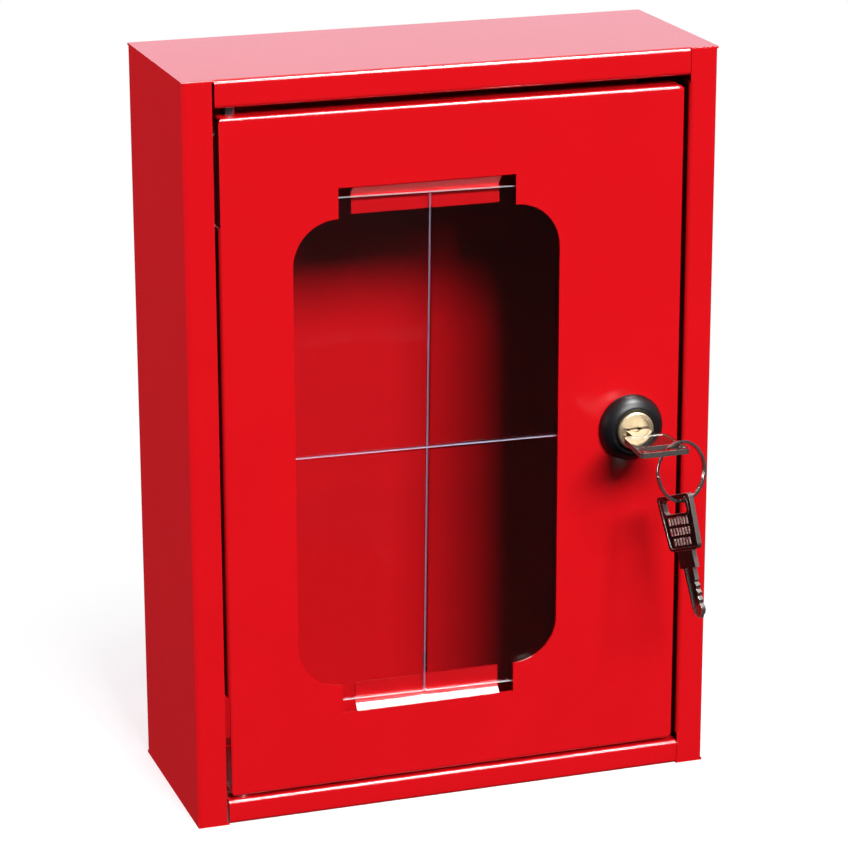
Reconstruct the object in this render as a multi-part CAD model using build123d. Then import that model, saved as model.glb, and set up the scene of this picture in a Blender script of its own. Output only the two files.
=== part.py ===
from build123d import *
import os
from math import cos, radians, sin, sqrt

# Wall box of folded sheet steel with a break-out pane in its hinged door.
# Millimetres. X runs to the right, Y from the front to the wall, Z upwards.
# The origin is the centre of the rear face, where the box meets the wall.

# Case
CASE_WIDTH = 240.0
CASE_HEIGHT = 334.0
CASE_DEPTH = 92.0
SHEET = 1.0
BEND = 2.0  # outer radius of a fold
FLANGE_WIDTH = 13.0  # front flange of each side wall
STRIKE_DEPTH = 13.0  # return behind the right flange, which the cam closes on
STRIKE_END = 15.0  # from the end of the case to the end of that return
STRIKE_CHAMFER = 4.0
STRIKE_RELIEF = 0.4  # the flange steps back where the return stops
TOP_RAIL = 12.2
BOTTOM_RAIL = 11.2
RAIL_RETURN = 11.5
RAIL_SEAM = 1.1  # open joint between a rail and the left flange
RAIL_SEAM_RIGHT = 0.2
LUG_DEPTH = 9.0  # weld lugs under the top panel and over the bottom panel
SIDE_LUG_WIDTH = 40.0
BACK_LUG_WIDTH = 50.0
BACK_LUG_SPACING = 120.0

# Fixing to the wall
FIXING_SPACING_X = 170.0
FIXING_SPACING_Z = 250.0
FIXING_HOLE = 6.5

# Door pan
DOOR_GAP_LEFT = 1.6
DOOR_GAP_RIGHT = 2.0
DOOR_GAP_TOP = 4.0
DOOR_GAP_BOTTOM = 1.5
DOOR_DEPTH = 12.0
DOOR_CORNER = 2.6  # rounding of the pan's corners seen from the front
CORNER_SLIT = 1.6  # the folded returns stop short of each other at a corner
HINGE_NOTCH = 47.0  # length of left return cut away at each end
HINGE_NOTCH_STEP = 0.9

# Hinge pins
PIN_DIAMETER = 4.5
PIN_FIT = 0.08  # radial clearance in the door
PIN_SETBACK = 7.5  # axis behind the front face
PIN_INSET = 7.1  # axis inside the door's left edge
PIN_HEAD_DIAMETER = 8.0
PIN_HEAD = 1.6
PIN_CHAMFER = 0.6
UPPER_PIN_REACH = 8.0  # below the top rail
LOWER_PIN_REACH = 4.2  # above the bottom rail
WASHER_DIAMETER = 9.0
WASHER_PLAY = 0.1
SPACER_DIAMETER = 6.4  # sleeve on the upper pin, which keeps the door from lifting off

# Window and the joggled tabs that hold the pane
WINDOW_FROM_HINGE_SIDE = 32.25  # edges of the window from the door's edges
WINDOW_FROM_LOCK_SIDE = 57.65
WINDOW_FROM_ENDS = 46.85
WINDOW_RADIUS = 20.0
NOTCH_WIDTH = 6.5
NOTCH_DEPTH = 13.4
NOTCH_CLEAR = 0.35  # from a notch to the start of the window's corner
JOGGLE_RUN = 4.2
JOGGLE_BEND = 2.0
TAB_SETBACK = 1.0  # free end of a tab from the window's edge

# Pane
PANE_THICKNESS = 2.5
PANE_OVERLAP_SIDE = 13.75  # beyond the edges of the window
PANE_OVERLAP_END = 8.3
PANE_PLAY = 0.2  # in front of the pane and behind it
PANE_LIFT = 0.3  # under its lowest seated point
PANE_TILT = 0.8  # degrees that it hangs out of square in its loose seat
SCORE_WIDTH = 2.0
SCORE_DEPTH = 0.9

# Lock body
LOCK_INSET = 23.35  # axis from the door's right edge
LOCK_PROUD = 7.4  # face of the lock in front of the door
BARREL_LENGTH = 26.0
BARREL_HEAD = 16.8
BARREL_BODY = 16.0
BARREL_FLATS = 14.0
BARREL_COLLAR = 21.0
BARREL_COLLAR_THICK = 2.0
BARREL_EDGE = 0.5
BARREL_FIT = 0.1
ROSETTE_DIAMETER = 30.0
ROSETTE_HEIGHT = 6.2
ROSETTE_RIM = 0.9  # straight edge where it meets the door
ROSETTE_NOSE = 10.6  # radius of the front ring
ROSETTE_NOSE_FLAT = 0.9
ROSETTE_CROWN = 0.9  # how far the dome stands out from a straight cone
NUT_ACROSS = 21.0
NUT_THICK = 4.0
NUT_WASHER = 24.0
NUT_WASHER_THICK = 0.8
NUT_WASHER_TEETH = 12
NUT_WASHER_TOOTH = 1.2

# Lock plug, stop and cam
PLUG_DIAMETER = 12.8
PLUG_FIT = 0.1
PLUG_RECESS = 0.2
KEYWAY_WIDTH = 7.0
KEYWAY_HEIGHT = 2.6
KEYWAY_BEYOND_TIP = 0.1  # the key stops with its tip in the end of the keyway
MOUTH_WIDTH = 11.8
MOUTH_HEIGHT = 3.0
MOUTH_DEPTH = 1.2
DIMPLE_DIAMETER = 5.4  # shallow round recess behind the middle of the mouth
DIMPLE_DEPTH = 0.5
SPIGOT_SQUARE = 7.5
SPIGOT_FIT = 0.1
SPIGOT_SHORT = 0.2  # below the cam's face, so that the screw clamps the cam
STOP_THICK = 1.0
STOP_RADIUS = 6.5
STOP_TAB_REACH = 7.8
STOP_TAB_ANGLE = 24.0
STOP_TAB_MIDDLE = 90.0  # direction of the tab with the lock closed, from local +X
STOP_PLAY = 1.0  # degrees at each end of the quarter turn
LOCK_TURN = 90.0
CAM_THICK = 2.0
CAM_WIDTH = 14.0
CAM_REACH = 30.0
CAM_HUB = 8.5
CAM_CRANK_START = 10.0
CAM_CRANK_END = 15.5
CAM_BEND = 2.5
CAM_CORNER = 4.6
CAM_STRIKE_GAP = 0.5
CAM_WASHER_DIAMETER = 10.0
CAM_WASHER_THICK = 0.8
SCREW_DIAMETER = 4.0
SCREW_LENGTH = 5.6
SCREW_HEAD = 7.6
SCREW_HEAD_THICK = 2.6
SCREW_HEAD_TOP = 4.6  # flat on top of the pan head
SCREW_FIT = 0.2
SCREW_HOLE_BEYOND = 1.0  # tapped hole beyond the screw's end
SCREW_SLOT_WIDTH = 1.2
SCREW_SLOT_DEPTH = 1.2
WAFER_COUNT = 5
WAFER_FIRST = 5.0  # first wafer behind the face
WAFER_PITCH = 3.2
WAFER_THICK = 1.0
WAFER_LENGTH = 11.8
WAFER_HEIGHT = 4.4
WAFER_FIT = 0.1

# Keys
BOW_WIDTH = 23.0  # at its outer end
BOW_NECK_WIDTH = 20.0
BOW_LENGTH = 24.8
BOW_THICK = 2.4
BOW_CORNER = 1.8
BOW_NECK_CORNER = 2.6
BOW_RIM = 1.3
BOW_RECESS = 0.35
BOW_STRIP = 2.2  # bow left beyond the ring slot
BOW_SLOT_WIDTH = 15.6
BOW_SLOT_HEIGHT = 6.2
BOW_SLOT_CORNER = 1.6
NECK_LENGTH = 8.0
NECK_WIDTH = 10.6
BLADE_LENGTH = 22.4
BLADE_WIDTH = 6.4
BLADE_THICK = 2.2
BLADE_TIP = 3.4
BLADE_POINT = 2.5
BLADE_GROOVE_WIDTH = 1.8
BLADE_GROOVE_DEPTH = 0.6
BLADE_GROOVE_OFFSET = 1.2
BIT_COUNT = 4
BIT_FIRST = 6.4
BIT_PITCH = 3.2
BIT_DEPTH = 0.9
KEY_PROUD = 1.6  # end of the neck in front of the plug's face

# Split ring and the way that it and the spare key hang
RING_DIAMETER = 27.5
RING_WIRE_RADIAL = 1.3
RING_WIRE_AXIAL = 0.8
RING_COIL_GAP = 0.1
RING_STEP_START = 80.0  # degrees, where the wire leaves the front coil
RING_STEP_SPAN = 95.0
RING_STEP_FACES = 8
RING_END_GAP = 4.0
RING_YAW = 18.0  # right side of the ring turned back
RING_LEAN = 10.0  # bottom of the ring swung to the front
RING_SEAT = 0.3
SPARE_SLOT_OFFSET = 6.0  # where the wire lies in the spare key's slot
SPARE_SEAT = 0.4
SPARE_LEAN = 21.0

FRONT = -CASE_DEPTH
TOP = CASE_HEIGHT / 2
BOTTOM = -TOP
RIGHT = CASE_WIDTH / 2
LEFT = -RIGHT
MOUTH_LEFT = LEFT + FLANGE_WIDTH
MOUTH_RIGHT = RIGHT - FLANGE_WIDTH
MOUTH_TOP = TOP - TOP_RAIL
MOUTH_BOTTOM = BOTTOM + BOTTOM_RAIL

DOOR_LEFT = MOUTH_LEFT + DOOR_GAP_LEFT
DOOR_RIGHT = MOUTH_RIGHT - DOOR_GAP_RIGHT
DOOR_TOP = MOUTH_TOP - DOOR_GAP_TOP
DOOR_BOTTOM = MOUTH_BOTTOM + DOOR_GAP_BOTTOM
DOOR_HEIGHT = DOOR_TOP - DOOR_BOTTOM
DOOR_Z = (DOOR_TOP + DOOR_BOTTOM) / 2
DOOR_REAR = FRONT + DOOR_DEPTH

PIN_X = DOOR_LEFT + PIN_INSET
PIN_Y = FRONT + PIN_SETBACK

WINDOW_WIDTH = DOOR_RIGHT - DOOR_LEFT - WINDOW_FROM_HINGE_SIDE - WINDOW_FROM_LOCK_SIDE
WINDOW_HEIGHT = DOOR_HEIGHT - 2 * WINDOW_FROM_ENDS
WINDOW_X = DOOR_LEFT + WINDOW_FROM_HINGE_SIDE + WINDOW_WIDTH / 2
PANE_FRONT = FRONT + SHEET + PANE_PLAY
TAB_FACE = PANE_FRONT + PANE_THICKNESS + PANE_PLAY
NOTCH_SPAN = WINDOW_WIDTH - 2 * (WINDOW_RADIUS + NOTCH_CLEAR)
TAB_WIDTH = NOTCH_SPAN - 2 * NOTCH_WIDTH

LOCK_X = DOOR_RIGHT - LOCK_INSET
LOCK_Z = DOOR_Z
LOCK_PLANE = Plane(origin=(LOCK_X, FRONT, LOCK_Z), x_dir=(1, 0, 0), z_dir=(0, -1, 0))

# Heights along the lock's axis, measured outwards from the face of the door
BARREL_END = LOCK_PROUD - BARREL_LENGTH
PLUG_FACE = LOCK_PROUD - PLUG_RECESS
STOP_END = BARREL_END - STOP_THICK
CAM_END = STOP_END - CAM_THICK
CAM_TIP_FACE = -STRIKE_DEPTH - CAM_STRIKE_GAP
CAM_WASHER_END = CAM_END - CAM_WASHER_THICK
KEY_SHOULDER = PLUG_FACE + KEY_PROUD

BOW_INNER_END = NECK_LENGTH
BOW_OUTER_END = NECK_LENGTH + BOW_LENGTH
SLOT_OUTER_EDGE = BOW_OUTER_END - BOW_STRIP
SLOT_CENTRE = SLOT_OUTER_EDGE - BOW_SLOT_HEIGHT / 2
BOW_TAPER = (BOW_WIDTH - BOW_NECK_WIDTH) / BOW_LENGTH
BOW_WIDTH_AT_SLOT = BOW_WIDTH - BOW_TAPER * (BOW_OUTER_END - SLOT_CENTRE)
SIDE_STRIP = (BOW_WIDTH_AT_SLOT - BOW_SLOT_WIDTH) / 2

RING_INNER = RING_DIAMETER / 2 - RING_WIRE_RADIAL
RING_MEAN = RING_DIAMETER / 2 - RING_WIRE_RADIAL / 2
RING_PITCH = RING_WIRE_AXIAL + RING_COIL_GAP


def block(x0, x1, y0, y1, z0, z1):
    """Box between two opposite corners."""
    corner = Vector((x0 + x1) / 2, (y0 + y1) / 2, (z0 + z1) / 2)
    return Pos(corner) * Box(x1 - x0, y1 - y0, z1 - z0)


def folded(plane, points, radius, side, start, end):
    """Sheet folded along points, which lie on its outer face, from start to end."""
    with BuildSketch(plane.offset(start)) as section:
        with BuildLine():
            FilletPolyline(*points, radius=radius)
            offset(amount=SHEET, side=side)
        make_face()
    return extrude(section.sketch, amount=end - start)


def turned(*profile):
    """Solid of revolution about the local Z axis from radius and height pairs."""
    return revolve(Plane.XZ * make_face(Polyline(*profile, close=True)), Axis.Z)


def mirrored_pair(value):
    """A distance to both sides of a centre."""
    return (-value, value)


# Case


def case_wrap():
    """Back, sides and front flanges folded from one sheet."""
    walls = [(LEFT, FRONT), (LEFT, 0), (RIGHT, 0), (RIGHT, FRONT)]
    with_strike = [(MOUTH_LEFT, FRONT), *walls, (MOUTH_RIGHT, FRONT), (MOUTH_RIGHT, FRONT + STRIKE_DEPTH)]
    plain = [(MOUTH_LEFT, FRONT), *walls, (MOUTH_RIGHT + STRIKE_RELIEF, FRONT)]
    low = BOTTOM + SHEET
    high = TOP - SHEET
    strike_low = BOTTOM + STRIKE_END
    strike_high = TOP - STRIKE_END
    wrap = folded(Plane.XY, with_strike, BEND, Side.RIGHT, strike_low, strike_high)
    wrap += folded(Plane.XY, plain, BEND, Side.RIGHT, low, strike_low)
    wrap += folded(Plane.XY, plain, BEND, Side.RIGHT, strike_high, high)

    rear_edge = FRONT + STRIKE_DEPTH
    for end, inward in ((strike_low, 1), (strike_high, -1)):
        corner = Polyline(
            (rear_edge - STRIKE_CHAMFER, end),
            (rear_edge, end),
            (rear_edge, end + inward * STRIKE_CHAMFER),
            close=True,
        )
        wrap -= extrude(Plane.YZ.offset(MOUTH_RIGHT) * make_face(corner), amount=SHEET)

    for end, inward in ((low, 1), (high, -1)):
        z0, z1 = sorted((end, end + inward * SHEET))
        for x in mirrored_pair(BACK_LUG_SPACING / 2):
            wrap += block(x - BACK_LUG_WIDTH / 2, x + BACK_LUG_WIDTH / 2, -LUG_DEPTH, -SHEET / 2, z0, z1)
        y0 = FRONT / 2 - SIDE_LUG_WIDTH / 2
        y1 = FRONT / 2 + SIDE_LUG_WIDTH / 2
        wrap += block(LEFT + SHEET / 2, LEFT + LUG_DEPTH, y0, y1, z0, z1)
        wrap += block(RIGHT - LUG_DEPTH, RIGHT - SHEET / 2, y0, y1, z0, z1)

    holes = GridLocations(FIXING_SPACING_X, FIXING_SPACING_Z, 2, 2)
    wrap -= Plane.XZ * holes * Cylinder(FIXING_HOLE / 2, 4 * SHEET)
    return wrap


def end_panel(edge, mouth, side):
    """Flat end sheet over the wrap, folded down into a rail with a return behind it."""
    inward = 1 if mouth > edge else -1
    z0, z1 = sorted((edge, edge + inward * SHEET))
    rail_start = MOUTH_LEFT + RAIL_SEAM
    rail_end = MOUTH_RIGHT + STRIKE_RELIEF - RAIL_SEAM_RIGHT
    panel = block(LEFT, RIGHT, FRONT + BEND, 0, z0, z1)
    for x0, x1 in ((LEFT, rail_start), (rail_end, RIGHT)):
        panel += block(x0, x1, FRONT, FRONT + 2 * BEND, z0, z1)
    line = [(FRONT + 2 * BEND, edge), (FRONT, edge), (FRONT, mouth), (FRONT + RAIL_RETURN, mouth)]
    panel += folded(Plane.YZ, line, BEND, side, rail_start, rail_end)
    panel -= Pos(PIN_X, PIN_Y, mouth) * Cylinder(PIN_DIAMETER / 2, 4 * SHEET)
    return panel


def hinge_pin(mouth, inward, reach):
    """Headed pin riveted in the return of a rail, pointing at the door."""
    radius = PIN_DIAMETER / 2
    head = PIN_HEAD_DIAMETER / 2
    seat = -SHEET  # the head lies on the far side of the return
    pin = turned(
        (0, seat - PIN_HEAD), (head - PIN_CHAMFER, seat - PIN_HEAD),
        (head, seat - PIN_HEAD + PIN_CHAMFER), (head, seat), (radius, seat),
        (radius, reach - PIN_CHAMFER), (radius - PIN_CHAMFER, reach), (0, reach),
    )
    upright = Plane(origin=(PIN_X, PIN_Y, mouth), x_dir=(1, 0, 0), z_dir=(0, 0, inward))
    return upright.location * pin


def hinge_washer():
    """Plain washer that carries the door on the lower pin."""
    thick = DOOR_GAP_BOTTOM - WASHER_PLAY
    radius = PIN_DIAMETER / 2 + PIN_FIT
    ring = Cylinder(WASHER_DIAMETER / 2, thick) - Cylinder(radius, thick)
    return Pos(PIN_X, PIN_Y, MOUTH_BOTTOM + thick / 2) * ring


def hinge_spacer():
    """Sleeve round the upper pin between the rail and the door."""
    length = DOOR_GAP_TOP - WASHER_PLAY
    sleeve = Cylinder(SPACER_DIAMETER / 2, length) - Cylinder(PIN_DIAMETER / 2 + PIN_FIT, length)
    return Pos(PIN_X, PIN_Y, MOUTH_TOP - length / 2) * sleeve


# Door


def window_outline():
    """Rounded window with a notch to each side of both tabs."""
    outline = RectangleRounded(WINDOW_WIDTH, WINDOW_HEIGHT, WINDOW_RADIUS)
    outline += Rectangle(NOTCH_SPAN, WINDOW_HEIGHT + 2 * NOTCH_DEPTH)
    return Pos(WINDOW_X, DOOR_Z) * outline


def pane_tab(direction):
    """Tab joggled back behind the pane, above the window (1) or below it (-1)."""
    root = DOOR_Z + direction * (WINDOW_HEIGHT / 2 + NOTCH_DEPTH)
    run_end = root - direction * JOGGLE_RUN
    tip = DOOR_Z + direction * (WINDOW_HEIGHT / 2 + TAB_SETBACK)
    above = root + direction * 2 * JOGGLE_BEND
    line = [(FRONT, above), (FRONT, root), (TAB_FACE, run_end), (TAB_FACE, tip)]
    side = Side.LEFT if direction > 0 else Side.RIGHT
    x0 = WINDOW_X - TAB_WIDTH / 2
    return folded(Plane.YZ, line, JOGGLE_BEND, side, x0, x0 + TAB_WIDTH)


def lock_hole():
    """Hole with two flats that keeps the barrel from turning."""
    round_hole = Circle(BARREL_BODY / 2 + BARREL_FIT)
    flats = Rectangle(BARREL_FLATS + 2 * BARREL_FIT, 2 * BARREL_BODY)
    return extrude(LOCK_PLANE * (round_hole & flats), amount=2 * SHEET, both=True)


def door_panel():
    """Shallow folded pan with the window, its two tabs and the lock hole."""
    pan = block(DOOR_LEFT, DOOR_RIGHT, FRONT, DOOR_REAR, DOOR_BOTTOM, DOOR_TOP)
    pan = fillet(pan.edges().filter_by(Axis.Y).group_by(Axis.X)[-1], DOOR_CORNER)
    pan = fillet(pan.edges().group_by(Axis.Y)[0], BEND)
    hollow = block(
        DOOR_LEFT + SHEET, DOOR_RIGHT - SHEET, FRONT + SHEET, DOOR_REAR + SHEET,
        DOOR_BOTTOM + SHEET, DOOR_TOP - SHEET,
    )
    hollow = fillet(hollow.edges().filter_by(Axis.Y).group_by(Axis.X)[-1], DOOR_CORNER - SHEET)
    hollow = fillet(hollow.edges().group_by(Axis.Y)[0], BEND - SHEET)
    pan -= hollow

    for x, x_in in ((DOOR_LEFT, 1), (DOOR_RIGHT, -1)):
        for z, z_in in ((DOOR_BOTTOM, 1), (DOOR_TOP, -1)):
            x0, x1 = sorted((x, x + x_in * CORNER_SLIT))
            z0, z1 = sorted((z, z + z_in * CORNER_SLIT))
            pan -= block(x0, x1, FRONT + BEND, DOOR_REAR, z0, z1)

    cut_edge = DOOR_LEFT + HINGE_NOTCH_STEP
    for z0, z1 in ((DOOR_BOTTOM, DOOR_BOTTOM + HINGE_NOTCH), (DOOR_TOP - HINGE_NOTCH, DOOR_TOP)):
        pan -= block(DOOR_LEFT, cut_edge, FRONT, DOOR_REAR, z0, z1)
    inner_low = DOOR_BOTTOM + BEND
    inner_high = DOOR_TOP - BEND
    for z0, z1 in ((inner_low, DOOR_BOTTOM + HINGE_NOTCH), (DOOR_TOP - HINGE_NOTCH, inner_high)):
        pan -= block(DOOR_LEFT, DOOR_LEFT + BEND, FRONT + SHEET, DOOR_REAR, z0, z1)
    for z, z_in in ((DOOR_BOTTOM, 1), (DOOR_TOP, -1)):
        corner = Pos(cut_edge, z) * Rectangle(2 * DOOR_CORNER, 2 * DOOR_CORNER)
        corner -= Pos(cut_edge + DOOR_CORNER, z + z_in * DOOR_CORNER) * Circle(DOOR_CORNER)
        pan -= extrude(Plane.XZ.offset(-FRONT) * corner, amount=-DOOR_DEPTH)

    pan -= extrude(Plane.XZ.offset(-FRONT) * window_outline(), amount=-2 * SHEET)
    pan += pane_tab(1)
    pan += pane_tab(-1)
    pan -= lock_hole()
    pan -= Pos(PIN_X, PIN_Y, DOOR_Z) * Cylinder(PIN_DIAMETER / 2 + PIN_FIT, 2 * DOOR_HEIGHT)
    return pan


def break_pane():
    """Clear pane, scored with a cross so that it breaks out along the lines."""
    pane_width = WINDOW_WIDTH + 2 * PANE_OVERLAP_SIDE
    pane_height = WINDOW_HEIGHT + 2 * PANE_OVERLAP_END
    groove = Polyline((-SCORE_WIDTH / 2, 0), (SCORE_WIDTH / 2, 0), (0, SCORE_DEPTH), close=True)
    v_cut = extrude(Plane.XY * make_face(groove), amount=pane_height, both=True)
    pane = Pos(0, PANE_THICKNESS / 2, 0) * Box(pane_width, PANE_THICKNESS, pane_height)
    pane -= v_cut
    pane -= Rot(0, 90, 0) * v_cut

    joggle_end = DOOR_Z - WINDOW_HEIGHT / 2 - NOTCH_DEPTH + JOGGLE_RUN
    dip = TAB_WIDTH / 2 * sin(radians(PANE_TILT))
    centre_z = joggle_end + PANE_LIFT + dip + pane_height / 2
    return Pos(WINDOW_X, PANE_FRONT, centre_z) * Rot(0, PANE_TILT, 0) * pane


# Lock, modelled about its own axis and then set in the door


def in_lock(solid):
    """Place a piece modelled about the lock's axis."""
    return LOCK_PLANE.location * solid


def lock_rosette():
    """Domed plastic escutcheon with a raised ring round the cylinder."""
    outer = ROSETTE_DIAMETER / 2
    bore = BARREL_HEAD / 2 + BARREL_FIT
    chest = BARREL_COLLAR / 2 + BARREL_FIT
    collar_top = BARREL_COLLAR_THICK + BARREL_FIT
    inner_ring = ROSETTE_NOSE - ROSETTE_NOSE_FLAT
    rise = ROSETTE_HEIGHT - ROSETTE_RIM
    slant = sqrt((outer - ROSETTE_NOSE) ** 2 + rise**2)
    crown = (
        (outer + ROSETTE_NOSE) / 2 + ROSETTE_CROWN * rise / slant,
        (ROSETTE_RIM + ROSETTE_HEIGHT) / 2 + ROSETTE_CROWN * (outer - ROSETTE_NOSE) / slant,
    )
    with BuildSketch(Plane.XZ) as section:
        with BuildLine():
            Polyline((chest, 0), (outer, 0), (outer, ROSETTE_RIM))
            ThreePointArc((outer, ROSETTE_RIM), crown, (ROSETTE_NOSE, ROSETTE_HEIGHT))
            Polyline(
                (ROSETTE_NOSE, ROSETTE_HEIGHT), (inner_ring, ROSETTE_HEIGHT),
                (bore, ROSETTE_HEIGHT - ROSETTE_NOSE_FLAT), (bore, collar_top),
                (chest, collar_top), (chest, 0),
            )
        make_face()
    return in_lock(revolve(section.sketch, Axis.Z))


def stop_sector(radius, first, last, low, high):
    """Wedge of a disc between two angles, counted anticlockwise from local +X."""
    reach = 2 * radius
    middle = (first + last) / 2
    corners = [(0, 0)] + [(reach * cos(radians(a)), reach * sin(radians(a))) for a in (first, middle, last)]
    wedge = make_face(Polyline(*corners, close=True)) & Circle(radius)
    return extrude(Plane.XY.offset(low) * wedge, amount=high - low)


def lock_barrel():
    """Brass housing: round head, collar on the door, flatted body and stop lip."""
    head = BARREL_HEAD / 2
    body = BARREL_BODY / 2
    barrel = turned(
        (0, BARREL_END), (body, BARREL_END), (body, 0), (BARREL_COLLAR / 2, 0),
        (BARREL_COLLAR / 2, BARREL_COLLAR_THICK), (head, BARREL_COLLAR_THICK),
        (head, LOCK_PROUD - BARREL_EDGE), (head - BARREL_EDGE, LOCK_PROUD), (0, LOCK_PROUD),
    )
    for side in mirrored_pair(1):
        x0, x1 = sorted((side * BARREL_FLATS / 2, side * body))
        barrel -= block(x0, x1, -body, body, BARREL_END, 0)

    lip = Cylinder(BARREL_FLATS / 2, STOP_THICK) - Cylinder(STOP_RADIUS + PLUG_FIT, STOP_THICK)
    lip = Pos(0, 0, BARREL_END - STOP_THICK / 2) * lip
    half_tab = STOP_TAB_ANGLE / 2 + STOP_PLAY
    start = STOP_TAB_MIDDLE - LOCK_TURN - half_tab
    lip -= stop_sector(BARREL_BODY, start, STOP_TAB_MIDDLE + half_tab, STOP_END, BARREL_END)
    barrel += lip
    bore = Cylinder(PLUG_DIAMETER / 2 + PLUG_FIT, BARREL_LENGTH)
    barrel -= Pos(0, 0, (BARREL_END + LOCK_PROUD) / 2) * bore
    return in_lock(barrel)


def lock_washer():
    """Toothed washer between the door and the nut."""
    thick = NUT_WASHER_THICK
    washer = Cylinder(NUT_WASHER / 2, thick) - Cylinder(BARREL_BODY / 2 + BARREL_FIT, thick)
    tooth = Box(NUT_WASHER_TOOTH, NUT_WASHER_TOOTH, thick)
    washer -= PolarLocations(NUT_WASHER / 2, NUT_WASHER_TEETH) * tooth
    return in_lock(Pos(0, 0, -SHEET - thick / 2) * washer)


def lock_nut():
    """Hexagon nut that clamps the barrel in the door."""
    blank = extrude(RegularPolygon(NUT_ACROSS / 2, 6, major_radius=False), amount=NUT_THICK)
    corner = NUT_ACROSS / 2 / cos(radians(30))
    bevel = corner - NUT_ACROSS / 2
    blank &= turned(
        (0, 0), (corner - bevel, 0), (corner, bevel / 2), (corner, NUT_THICK), (0, NUT_THICK),
    )
    blank -= Cylinder(BARREL_BODY / 2 + BARREL_FIT, 4 * NUT_THICK)
    return in_lock(Pos(0, 0, -SHEET - NUT_WASHER_THICK - NUT_THICK) * blank)


def wafer_places():
    """Heights of the wafers along the lock's axis."""
    return [LOCK_PROUD - WAFER_FIRST - WAFER_PITCH * i for i in range(WAFER_COUNT)]


def lock_plug():
    """Turning plug with its keyway, wafer slots and square spigot for the cam."""
    radius = PLUG_DIAMETER / 2
    plug = Pos(0, 0, (PLUG_FACE + BARREL_END) / 2) * Cylinder(radius, PLUG_FACE - BARREL_END)
    spigot_end = CAM_END + SPIGOT_SHORT
    plug += block(
        -SPIGOT_SQUARE / 2, SPIGOT_SQUARE / 2, -SPIGOT_SQUARE / 2, SPIGOT_SQUARE / 2,
        spigot_end, BARREL_END,
    )
    keyway_end = KEY_SHOULDER - BLADE_LENGTH - KEYWAY_BEYOND_TIP
    plug -= block(
        -KEYWAY_WIDTH / 2, KEYWAY_WIDTH / 2, -KEYWAY_HEIGHT / 2, KEYWAY_HEIGHT / 2,
        keyway_end, LOCK_PROUD,
    )
    plug -= block(
        -MOUTH_WIDTH / 2, MOUTH_WIDTH / 2, -MOUTH_HEIGHT / 2, MOUTH_HEIGHT / 2,
        PLUG_FACE - MOUTH_DEPTH, LOCK_PROUD,
    )
    plug -= Pos(0, 0, PLUG_FACE) * Cylinder(DIMPLE_DIAMETER / 2, 2 * DIMPLE_DEPTH)
    slot = Box(PLUG_DIAMETER, WAFER_HEIGHT + 2 * WAFER_FIT, WAFER_THICK + 2 * WAFER_FIT)
    for height in wafer_places():
        plug -= Pos(0, 0, height) * slot
    tapped = SCREW_LENGTH + SCREW_HOLE_BEYOND
    plug -= Pos(0, 0, CAM_WASHER_END + tapped / 2) * Cylinder(SCREW_DIAMETER / 2, tapped)
    return in_lock(plug)


def lock_wafers():
    """Wafers in the plug, each a thin plate with a window for the blade."""
    window = Box(BLADE_WIDTH + 2 * WAFER_FIT, BLADE_THICK + 2 * WAFER_FIT, WAFER_THICK)
    wafer = Box(WAFER_LENGTH, WAFER_HEIGHT, WAFER_THICK) - window
    return Compound(children=[in_lock(Pos(0, 0, height) * wafer) for height in wafer_places()])


def stop_washer():
    """Washer on the spigot whose tab ends the quarter turn against the barrel's lip."""
    tab_start = STOP_TAB_MIDDLE - STOP_TAB_ANGLE / 2
    tab_end = STOP_TAB_MIDDLE + STOP_TAB_ANGLE / 2
    disc = Pos(0, 0, (STOP_END + BARREL_END) / 2) * Cylinder(STOP_RADIUS, STOP_THICK)
    disc += stop_sector(STOP_TAB_REACH, tab_start, tab_end, STOP_END, BARREL_END)
    hole = SPIGOT_SQUARE / 2 + SPIGOT_FIT
    disc -= block(-hole, hole, -hole, hole, STOP_END, BARREL_END)
    return in_lock(disc)


def lock_cam():
    """Cranked cam whose tip closes behind the strike return of the case."""
    crank = CAM_TIP_FACE - STOP_END
    line = [
        (-CAM_HUB, STOP_END), (CAM_CRANK_START, STOP_END),
        (CAM_CRANK_END, STOP_END + crank), (CAM_REACH, STOP_END + crank),
    ]
    with BuildSketch(Plane.YZ) as section:
        with BuildLine():
            FilletPolyline(*line, radius=CAM_BEND)
            offset(amount=CAM_THICK, side=Side.RIGHT)
        make_face()
    strip = extrude(section.sketch, amount=CAM_HUB, both=True)
    arm = Pos(0, CAM_REACH / 2) * Rectangle(CAM_WIDTH, CAM_REACH)
    arm = fillet(arm.vertices().group_by(Axis.Y)[-1], CAM_CORNER)
    outline = Circle(CAM_HUB) + arm
    cam = strip & extrude(outline, amount=BARREL_LENGTH, both=True)
    hole = SPIGOT_SQUARE / 2 + SPIGOT_FIT
    cam -= block(-hole, hole, -hole, hole, CAM_END, STOP_END)
    return in_lock(cam)


def cam_washer():
    """Plain washer under the cam screw."""
    thick = CAM_WASHER_THICK
    ring = Cylinder(CAM_WASHER_DIAMETER / 2, thick) - Cylinder(SCREW_DIAMETER / 2 + SCREW_FIT, thick)
    return in_lock(Pos(0, 0, CAM_WASHER_END + thick / 2) * ring)


def cam_screw():
    """Slotted pan-head screw that holds the cam on the spigot."""
    head = SCREW_HEAD / 2
    shank = SCREW_DIAMETER / 2
    screw = turned(
        (0, -SCREW_HEAD_THICK), (SCREW_HEAD_TOP / 2, -SCREW_HEAD_THICK), (head, -SCREW_HEAD_THICK / 2),
        (head, 0), (shank, 0), (shank, SCREW_LENGTH), (0, SCREW_LENGTH),
    )
    screw -= block(
        -head, head, -SCREW_SLOT_WIDTH / 2, SCREW_SLOT_WIDTH / 2,
        -SCREW_HEAD_THICK, -SCREW_HEAD_THICK + SCREW_SLOT_DEPTH,
    )
    return in_lock(Pos(0, 0, CAM_WASHER_END) * screw)


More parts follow.
